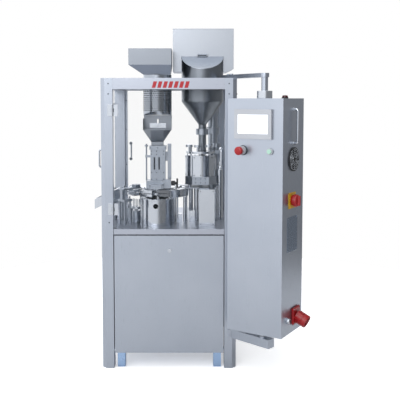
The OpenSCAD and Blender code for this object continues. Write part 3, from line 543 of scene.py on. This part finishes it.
def grow(name, mesh, tree, values, body, replaces=()):
    obj = bpy.data.objects.new(name, mesh)
    bpy.context.scene.collection.objects.link(obj)
    grower = obj.modifiers.new("grow", "NODES")
    grower.node_group = tree
    for item in tree.interface.items_tree:
        if item.in_out == "INPUT" and item.name in values:
            grower[item.identifier] = values[item.name]
    frozen = bpy.data.meshes.new_from_object(obj.evaluated_get(bpy.context.evaluated_depsgraph_get()))
    obj.modifiers.clear()
    while frozen.materials and frozen.materials[0] is None:
        frozen.materials.pop(index=0)
    obj.data = frozen
    frozen.name = name
    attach(obj, body)
    if replaces:
        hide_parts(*replaces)
    print(name, len(frozen.polygons), "faces,", [m.name for m in frozen.materials])
    return obj


cap_screws = screw_tree()


def screws(name, spots, radius, height, body="machine", finish=None):
    mesh = bpy.data.meshes.new(name)
    mesh.from_pydata([p for p, _ in spots], [], [])
    facing = mesh.attributes.new("facing", "FLOAT_VECTOR", "POINT")
    for k, (_, way) in enumerate(spots):
        facing.data[k].vector = way
    # The socket finish is painted shade inside each socket.
    return grow(name, mesh, cap_screws, {"Head Radius": radius / 1000, "Head Height": height / 1000,
        "Head Finish": finish or polished_stainless, "Socket Shade Finish": dark_anodised_and_socket_shade}, body)

# %% Screws of the frame, the walls and the stations
front, left, right, back, up = ((0, -1, 0), (-1, 0, 0), (1, 0, 0), (0, 1, 0), (0, 0, 1))
spots = [(at(s * 300, 0, z), front) for s in (-1, 1) for z in (750, 1395, 1446)]
spots += [(at(340, y, z), right) for y in (20, 700) for z in (750, 1395)]
spots += [(at(s * 273, 684, z), front) for s in (-1, 1) for z in (980, 1190, 1360)]
screws("frame_screws", spots, 3.2, 2.0, finish=dark_anodised_and_socket_shade)
spots = [(at(-338, y, z), left) for y in (80, 360, 640) for z in (110, 400, 660)]
spots += [(at(338, y, z), right) for y in (80, 360, 640) for z in (110, 400, 660)]
spots += [(at(x, 718, z), back) for x in (-260, 0, 260) for z in (110, 400, 660)]
screws("panel_screws", spots, 4.5, 2.4)
spots = [(at(-73 + 108 * math.cos(a), 320 + 108 * math.sin(a), 897), up)
         for a in (math.radians(18 + 36 * k) for k in range(10))]
spots += [(at(162 + 76 * math.cos(a), 300 + 76 * math.sin(a), 1069), up)
          for a in (math.radians(22 + 45 * k) for k in range(8))]
spots += [(at(-66 + 80 * math.cos(a), 166 + 80 * math.sin(a), 853), up)
          for a in (math.radians(190 + 20 * k) for k in range(9))]
spots += [(at(172 + 118 * math.cos(a), 300 + 118 * math.sin(a), 1476), up)
          for a in (math.radians(100 + 20 * k) for k in range(11))]
spots += [(at(x, y, 822), up) for x in (-307, -251) for y in (293, 347)]
spots += [(at(-67 + 82 * math.cos(a), 250 + 82 * math.sin(a), 1476), up)
          for a in (math.radians(20 + 40 * k) for k in range(9))]
screws("station_screws", spots, 3.4, 3.0)
spots = [(at(x, 157, z), front) for x in (-104, -42) for z in (905, 916)]
spots += [(at(x, 215, z), front) for x in (-98, -72, -34) for z in (945, 980, 1078, 1094)]
spots += [(at(x, 207, 1112), front) for x in (-104, -64, -25)]
spots += [(at(162 + dx, 218, z), front) for dx in (-26, 0, 26) for z in (925, 946)]
spots += [(at(x, 90, z), front) for x in (160, 225) for z in (726, 896)]
screws("block_screws", spots, 2.6, 2.0, finish=dark_anodised_and_socket_shade)
spots = [(at(162 + 82.3 * math.cos(a), 300 + 82.3 * math.sin(a), z), (math.cos(a), math.sin(a), 0))
         for a in (math.radians(-90 + 24 * k) for k in range(15)) for z in (964, 1058)]
screws("housing_screws", spots, 2.6, 1.8, finish=dark_anodised_and_socket_shade)

# %% [markdown]
# The sieve drum is a rolled sheet with round holes in staggered rows, 7 mm wide on an 11 mm pitch.
# The sheet is wrapped from a flat grid: each point of the grid becomes a place on the cylinder, and
# every second row is shifted by half a pitch. Each hole is painted shade: a dark disc a fraction of a
# millimetre proud of the sheet stands for the shade inside the hole, which at this size reads as the hole
# itself.

# %% Sieve holes
def sieve_tree():
    tree = bpy.data.node_groups.new("sieve_holes", "GeometryNodeTree")
    given, result = tree_inputs(tree, [("Drum Radius", "NodeSocketFloat"), ("Height", "NodeSocketFloat"),
        ("Columns", "NodeSocketInt"), ("Rows", "NodeSocketInt"), ("Hole Radius", "NodeSocketFloat"),
        ("Centre", "NodeSocketVector"), ("Finish", "NodeSocketMaterial")])
    count = add(tree, "ShaderNodeMath", {"operation": "MULTIPLY"},
                {0: given.outputs["Columns"], 1: given.outputs["Rows"]})
    points = add(tree, "GeometryNodePoints", links={"Count": count.outputs[0]})
    index = add(tree, "GeometryNodeInputIndex")
    row_raw = add(tree, "ShaderNodeMath", {"operation": "DIVIDE"},
                  {0: index.outputs[0], 1: given.outputs["Columns"]})
    row = add(tree, "ShaderNodeMath", {"operation": "FLOOR"}, {0: row_raw.outputs[0]})
    column = add(tree, "ShaderNodeMath", {"operation": "MODULO"},
                 {0: index.outputs[0], 1: given.outputs["Columns"]})
    odd = add(tree, "ShaderNodeMath", {"operation": "MODULO", 1: 2.0}, {0: row.outputs[0]})
    shifted = add(tree, "ShaderNodeMath", {"operation": "MULTIPLY_ADD", 1: 0.5},
                  {0: odd.outputs[0], 2: column.outputs[0]})
    part = add(tree, "ShaderNodeMath", {"operation": "DIVIDE"},
               {0: shifted.outputs[0], 1: given.outputs["Columns"]})
    angle = add(tree, "ShaderNodeMath", {"operation": "MULTIPLY", 1: 2 * math.pi}, {0: part.outputs[0]})
    east = add(tree, "ShaderNodeMath", {"operation": "COSINE"}, {0: angle.outputs[0]})
    north = add(tree, "ShaderNodeMath", {"operation": "SINE"}, {0: angle.outputs[0]})
    outward = add(tree, "ShaderNodeCombineXYZ", links={"X": east.outputs[0], "Y": north.outputs[0]})
    ring = add(tree, "ShaderNodeVectorMath", {"operation": "SCALE"},
               {0: outward.outputs[0], "Scale": given.outputs["Drum Radius"]})
    rise = add(tree, "ShaderNodeMath", {"operation": "DIVIDE"},
               {0: row.outputs[0], 1: given.outputs["Rows"]})
    lift = add(tree, "ShaderNodeMath", {"operation": "MULTIPLY"},
               {0: rise.outputs[0], 1: given.outputs["Height"]})
    lift_up = add(tree, "ShaderNodeCombineXYZ", links={"Z": lift.outputs[0]})
    spot = add(tree, "ShaderNodeVectorMath", {"operation": "ADD"},
               {0: ring.outputs[0], 1: lift_up.outputs[0]})
    placed = add(tree, "ShaderNodeVectorMath", {"operation": "ADD"},
                 {0: spot.outputs[0], 1: given.outputs["Centre"]})
    moved = add(tree, "GeometryNodeSetPosition", links={"Geometry": points.outputs[0],
                "Position": placed.outputs[0]})
    disc = add(tree, "GeometryNodeMeshCylinder", {"Vertices": 8, "Depth": 0.0004},
               {"Radius": given.outputs["Hole Radius"]})
    turn = add(tree, "FunctionNodeAlignRotationToVector", {"axis": "Z"}, {"Vector": outward.outputs[0]})
    copies = add(tree, "GeometryNodeInstanceOnPoints", links={"Points": moved.outputs[0],
                 "Instance": disc.outputs[0], "Rotation": turn.outputs[0]})
    real = add(tree, "GeometryNodeRealizeInstances", links={0: copies.outputs[0]})
    painted = add(tree, "GeometryNodeSetMaterial", links={"Geometry": real.outputs[0],
                  "Material": given.outputs["Finish"]})
    tree.links.new(painted.outputs[0], result.inputs[0])
    return tree


# The dark discs are painted shade inside the sieve holes.
grow("sieve_hole_shade_discs", bpy.data.meshes.new("sieve_hole_shade_discs"), sieve_tree(),
     {"Drum Radius": 0.0752, "Height": 0.164, "Columns": 42, "Rows": 15, "Hole Radius": 0.0034,
      "Centre": at(-67, 250, 1311), "Finish": black_nylon_and_hole_shade}, "machine")

# %% [markdown]
# The tamping rods carry springs, which press the powder into plugs. A spring is a spiral curve with
# a round wire swept along it: Geometry Nodes has a primitive for each, so the tree is short.

# %% Springs
def spring_tree():
    tree = bpy.data.node_groups.new("coil_springs", "GeometryNodeTree")
    given, result = tree_inputs(tree, [("Geometry", "NodeSocketGeometry"), ("Radius", "NodeSocketFloat"),
        ("Wire", "NodeSocketFloat"), ("Length", "NodeSocketFloat"), ("Turns", "NodeSocketFloat"),
        ("Finish", "NodeSocketMaterial")])
    spiral = add(tree, "GeometryNodeCurveSpiral", {"Resolution": 14}, {
        "Rotations": given.outputs["Turns"], "Start Radius": given.outputs["Radius"],
        "End Radius": given.outputs["Radius"], "Height": given.outputs["Length"]})
    wire = add(tree, "GeometryNodeCurvePrimitiveCircle", {"Resolution": 6},
               {"Radius": given.outputs["Wire"]})
    coil = add(tree, "GeometryNodeCurveToMesh", {"Fill Caps": True},
               {"Curve": spiral.outputs[0], "Profile Curve": wire.outputs[0]})
    copies = add(tree, "GeometryNodeInstanceOnPoints", links={"Points": given.outputs["Geometry"],
                 "Instance": coil.outputs[0]})
    real = add(tree, "GeometryNodeRealizeInstances", links={0: copies.outputs[0]})
    painted = add(tree, "GeometryNodeSetMaterial", links={"Geometry": real.outputs[0],
                  "Material": given.outputs["Finish"]})
    tree.links.new(painted.outputs[0], result.inputs[0])
    return tree


def springs(name, places, radius, wire, length, turns, body, tree):
    mesh = bpy.data.meshes.new(name)
    mesh.from_pydata(places, [], [])
    return grow(name, mesh, tree, {"Radius": radius / 1000, "Wire": wire / 1000,
        "Length": length / 1000, "Turns": turns, "Finish": polished_stainless}, body)


coils = spring_tree()
springs("tamping_springs", [at(162 + 60 * math.cos(math.radians(a)), 300 + 60 * math.sin(math.radians(a)),
        1091) for a in (270, 330, 30, 90, 150, 210)], 6, 0.9, 20, 6.0, "tamping_head", coils)
springs("ejector_springs", [at(-73 - 152, 320, 779), at(-180.5, 212.5, 779)], 9.5, 1.0, 7, 2.0,
        "machine", coils)

# %% [markdown]
# The stop button is a mushroom: a turned profile with a rounded rim is spun into it. The isolator
# has a domed disc with a grip across it. Both replace the plain cylinders of the CAD model.

# %% Buttons and knobs of the cabinet
bm = bmesh.new()
turned_part(bm, [(0, 9), (11, 9), (11, 36), (15, 37), (19.6, 38.5), (20.5, 41), (20.5, 50), (19.4, 54),
                 (16, 56.6), (9, 57.8), (0, 58)], on_cabinet(85, 0, 1123), -inward, 64)
finish_piece("stop_button_mushroom", bm, red_abs, "estop", ["estop_head"])
bm = bmesh.new()
turned_part(bm, [(0, 0.4), (23, 0.4), (24, 2), (23.4, 7), (21.1, 8), (21.1, 4), (0, 4)],
            on_cabinet(85, 0, 1123), -inward, 64)
finish_piece("stop_button_ring", bm, dark_anodised_and_socket_shade, "control_cabinet")
bm = bmesh.new()
turned_part(bm, [(0, -6), (5, -6), (5, 3.5), (25, 3.5), (26, 12), (30, 14), (30, 28), (28.5, 31),
                 (24, 33), (0, 33.5)], on_cabinet(cab_w, 110, 882), along, 64)
grip = []
for u_mm, half in ((31, 8.0), (41, 7.0), (44, 5.0)):
    grip.append([on_cabinet(cab_w + u_mm, 110 + s * half, 882 + t * (25 - 0.15 * (u_mm - 31)))
                 for s, t in ((-1, -1), (1, -1), (1, 1), (-1, 1))])
rings = [[bm.verts.new(p) for p in ring] for ring in grip]
for one, two in zip(rings, rings[1:]):
    for k in range(4):
        bm.faces.new([one[k], one[(k + 1) % 4], two[(k + 1) % 4], two[k]])
bm.faces.new(rings[0][::-1])
bm.faces.new(rings[-1])
finish_piece("isolator_rotary_knob", bm, red_abs, "isolator", ["isolator_knob"])

# %% [markdown]
# The power inlet is a square flange with a round socket that points down and away, so that the
# connector hangs clear of the cabinet. Its mouth has a lip, a dark well and five contact pins in a
# ring. The lamp on top is a low dome on a black base.

# %% Power inlet and lamp
down = (along * math.cos(math.radians(25)) - Vector((0, 0, math.sin(math.radians(25))))).normalized()
mouth = on_cabinet(cab_w + 6, 160, 305)
bm = bmesh.new()
flange_corner = on_cabinet(cab_w, 118, 263)
slab(bm, flange_corner, (along * 0.012, inward * 0.084, Vector((0, 0, 0.084))), 0.004, 3)
turned_part(bm, [(0, 6), (29, 6), (29, 40), (32, 43), (32, 62), (31, 65.5), (28.5, 65.5), (27.5, 63),
                 (27, 34), (0, 34)], mouth, down, 56)
for k in range(8):
    rib = Matrix.Rotation(math.radians(22.5 + 45 * k), 3, down) @ down.orthogonal().normalized()
    slab(bm, mouth + rib * 0.028 + down * 0.012 - down.cross(rib) * 0.002,
         (down * 0.030, down.cross(rib) * 0.004, rib * 0.0035), 0.0008)
finish_piece("power_inlet_body", bm, red_abs, "control_cabinet", ["inlet_and_lamp"])
bm = bmesh.new()
pin_east = down.orthogonal().normalized()
pin_north = down.cross(pin_east)
for k in range(5):
    a = 2 * math.pi * k / 5
    spot = mouth + pin_east * (0.015 * math.cos(a)) + pin_north * (0.015 * math.sin(a))
    turned_part(bm, [(0, 33), (2.6, 33), (2.6, 52), (1.6, 54), (0, 54)], spot, down, 12)
finish_piece("power_inlet_pins", bm, polished_stainless, "control_cabinet")
bm = bmesh.new()
lamp_foot = on_cabinet(234, 153, shell_hi.z * 1000)
turned_part(bm, [(0, 5.2), (14.2, 5.2), (14.2, 10), (12, 14), (6, 15.8), (0, 16)], lamp_foot,
            (0, 0, 1), 40)
finish_piece("signal_lamp_dome", bm, dark_lens, "control_cabinet", ["inlet_and_lamp"])
bm = bmesh.new()
turned_part(bm, [(0, 0), (16.5, 0), (16.5, 4.4), (15.6, 5.4), (0, 5.4)], lamp_foot, (0, 0, 1), 40)
finish_piece("signal_lamp_foot", bm, black_nylon_and_hole_shade, "control_cabinet")
screws("inlet_screws", [(on_cabinet(cab_w + 12, 160 + s * 35, 305 + t * 35), tuple(along))
       for s in (-1, 1) for t in (-1, 1)], 3.0, 2.0, "control_cabinet")

# %% [markdown]
# The cabinet's own fittings come next: a bent handle, the swing collar, the blank rating plate on
# rivets, and the cable gland with its hexagon nut.

# %% Cabinet fittings
bm = bmesh.new()
d_handle(bm, on_cabinet(cab_w, cab_d / 2, 0), along, 1158, 1321, 28, 12)
pivot = on_cabinet(175, 47, 0)
turned_part(bm, [(16.05, 6), (16.05, 35), (17, 36), (36, 36), (37, 35), (37, 1), (36, 0), (17, 0),
                 (16.05, 0.5), (16.05, 6)], pivot + Vector((0, 0, shell_hi.z)), (0, 0, 1), 64)
turned_part(bm, [(10.05, 213), (17, 213), (17, 227), (10.05, 227), (10.05, 213)], pivot, (0, 0, 1), 40)
finish_piece("cabinet_handle_and_collar", bm, polished_stainless, "control_cabinet",
             ["cabinet_fittings"])
bm = bmesh.new()
slab(bm, on_cabinet(cab_w, 58, 632), (along * 0.0015, inward * 0.118, Vector((0, 0, 0.170))), 0.0005, 1)
finish_piece("rating_plate_blank", bm, filmed_plate, "control_cabinet")
screws("rating_plate_rivets", [(on_cabinet(cab_w + 1.5, y, z), tuple(along)) for y in (64, 170)
       for z in (638, 796)], 3.0, 1.4, "control_cabinet", finish=brushed_upright)
bm = bmesh.new()
turned_part(bm, [(0, 0), (17, 0), (17, 6), (0, 6)], on_cabinet(cab_w, 66, 298), along, 6)
turned_part(bm, [(0, 6), (14, 6), (14, 12), (12.5, 15), (9.5, 18), (7, 18), (7, 6), (0, 6)],
            on_cabinet(cab_w, 66, 298), along, 32)
finish_piece("cable_gland", bm, polished_stainless, "control_cabinet")
screws("fan_screws", [(on_cabinet(cab_w + 6, cab_d / 2 + s * 39, 1080 + t * 39), tuple(along))
       for s in (-1, 1) for t in (-1, 1)], 2.8, 1.6, "control_cabinet")
bm = bmesh.new()
hub = on_cabinet(cab_w + 6.6, cab_d / 2, 1080)
for radius in (15, 24, 33, 42, 50):
    bent_bar(bm, arc(hub, inward, Vector((0, 0, 1)), radius / 1000, 0, 352, 44), 1.1, 8)
for a in (30, 90, 150, 210, 270, 330):
    way = inward * math.cos(math.radians(a)) + Vector((0, 0, math.sin(math.radians(a))))
    bent_bar(bm, [hub + way * 0.012 + along * 0.0012, hub + way * 0.052 + along * 0.0012], 1.2, 8)
finish_piece("fan_wire_guard", bm, polished_stainless, "control_cabinet")

# %% [markdown]
# The top beam carries a row of plain slanted bars in red enamel, a decoration without letters.

# %% Slanted bars
bm = bmesh.new()
for k in range(7):
    x0 = -84 + k * 27
    foot = [(x0, 1425), (x0 + 18, 1425), (x0 + 27, 1457), (x0 + 9, 1457)]
    near = [bm.verts.new(at(x, -0.8, z)) for x, z in foot]
    far = [bm.verts.new(at(x, 0.2, z)) for x, z in foot]
    bm.faces.new(near)
    bm.faces.new(far[::-1])
    for i in range(4):
        bm.faces.new([near[i], far[i], far[(i + 1) % 4], near[(i + 1) % 4]])
finish_piece("beam_bars", bm, red_enamel, "machine")

# %% [markdown]
# Vacuum and air reach the stations through stiff steel pipes, bent once and screwed down at both
# ends: a bar bent along a short curve, as for the handles.

# %% Pipes
def curve_between(points, steps=10):
    points = [Vector(p) for p in points]
    path = []
    for k in range(len(points) - 1):
        p0 = points[max(k - 1, 0)]
        p1, p2 = points[k], points[k + 1]
        p3 = points[min(k + 2, len(points) - 1)]
        for s in range(steps):
            t = s / steps
            path.append(0.5 * ((2 * p1) + (p2 - p0) * t + (2 * p0 - 5 * p1 + 4 * p2 - p3) * t * t
                               + (3 * p1 - p0 - 3 * p2 + p3) * t ** 3))
    return path + [points[-1]]


dosing_pipe = [at(266, 300, 1002), at(268, 310, 1040), at(272, 380, 1060), at(270, 460, 960),
               at(268, 480, 716)]
turret_pipe = [at(-150, 250, 850), at(-160, 236, 838), at(-156, 240, 780), at(-150, 262, 716)]
bm = bmesh.new()
bent_bar(bm, curve_between(dosing_pipe), 5, 12)
bent_bar(bm, curve_between(turret_pipe), 4, 12)
finish_piece("station_pipes", bm, polished_stainless, "machine")

# %% [markdown]
# The motor's shell has cooling fins all round, which are rings at an even pitch.
# One more tree makes them: thin discs placed along a line.

# %% Motor fins
def fin_tree():
    tree = bpy.data.node_groups.new("cooling_fins", "GeometryNodeTree")
    given, result = tree_inputs(tree, [("Start", "NodeSocketVector"), ("End", "NodeSocketVector"),
        ("Count", "NodeSocketInt"), ("Radius", "NodeSocketFloat"), ("Thickness", "NodeSocketFloat"),
        ("Finish", "NodeSocketMaterial")])
    line = add(tree, "GeometryNodeMeshLine", {"mode": "END_POINTS"}, {"Count": given.outputs["Count"],
               "Start Location": given.outputs["Start"], "Offset": given.outputs["End"]})
    disc = add(tree, "GeometryNodeMeshCylinder", {"Vertices": 40}, {"Radius": given.outputs["Radius"],
               "Depth": given.outputs["Thickness"]})
    laid = add(tree, "GeometryNodeTransform", {"Rotation": (0, math.pi / 2, 0)},
               {"Geometry": disc.outputs[0]})
    copies = add(tree, "GeometryNodeInstanceOnPoints", links={"Points": line.outputs[0],
                 "Instance": laid.outputs[0]})
    real = add(tree, "GeometryNodeRealizeInstances", links={0: copies.outputs[0]})
    painted = add(tree, "GeometryNodeSetMaterial", links={"Geometry": real.outputs[0],
                  "Material": given.outputs["Finish"]})
    tree.links.new(painted.outputs[0], result.inputs[0])
    return tree


grow("motor_fins", bpy.data.meshes.new("motor_fins"), fin_tree(),
     {"Start": at(84, 550, 206), "End": at(258, 550, 206), "Count": 17, "Radius": 0.088,
      "Thickness": 0.003, "Finish": motor_paint}, "machine")
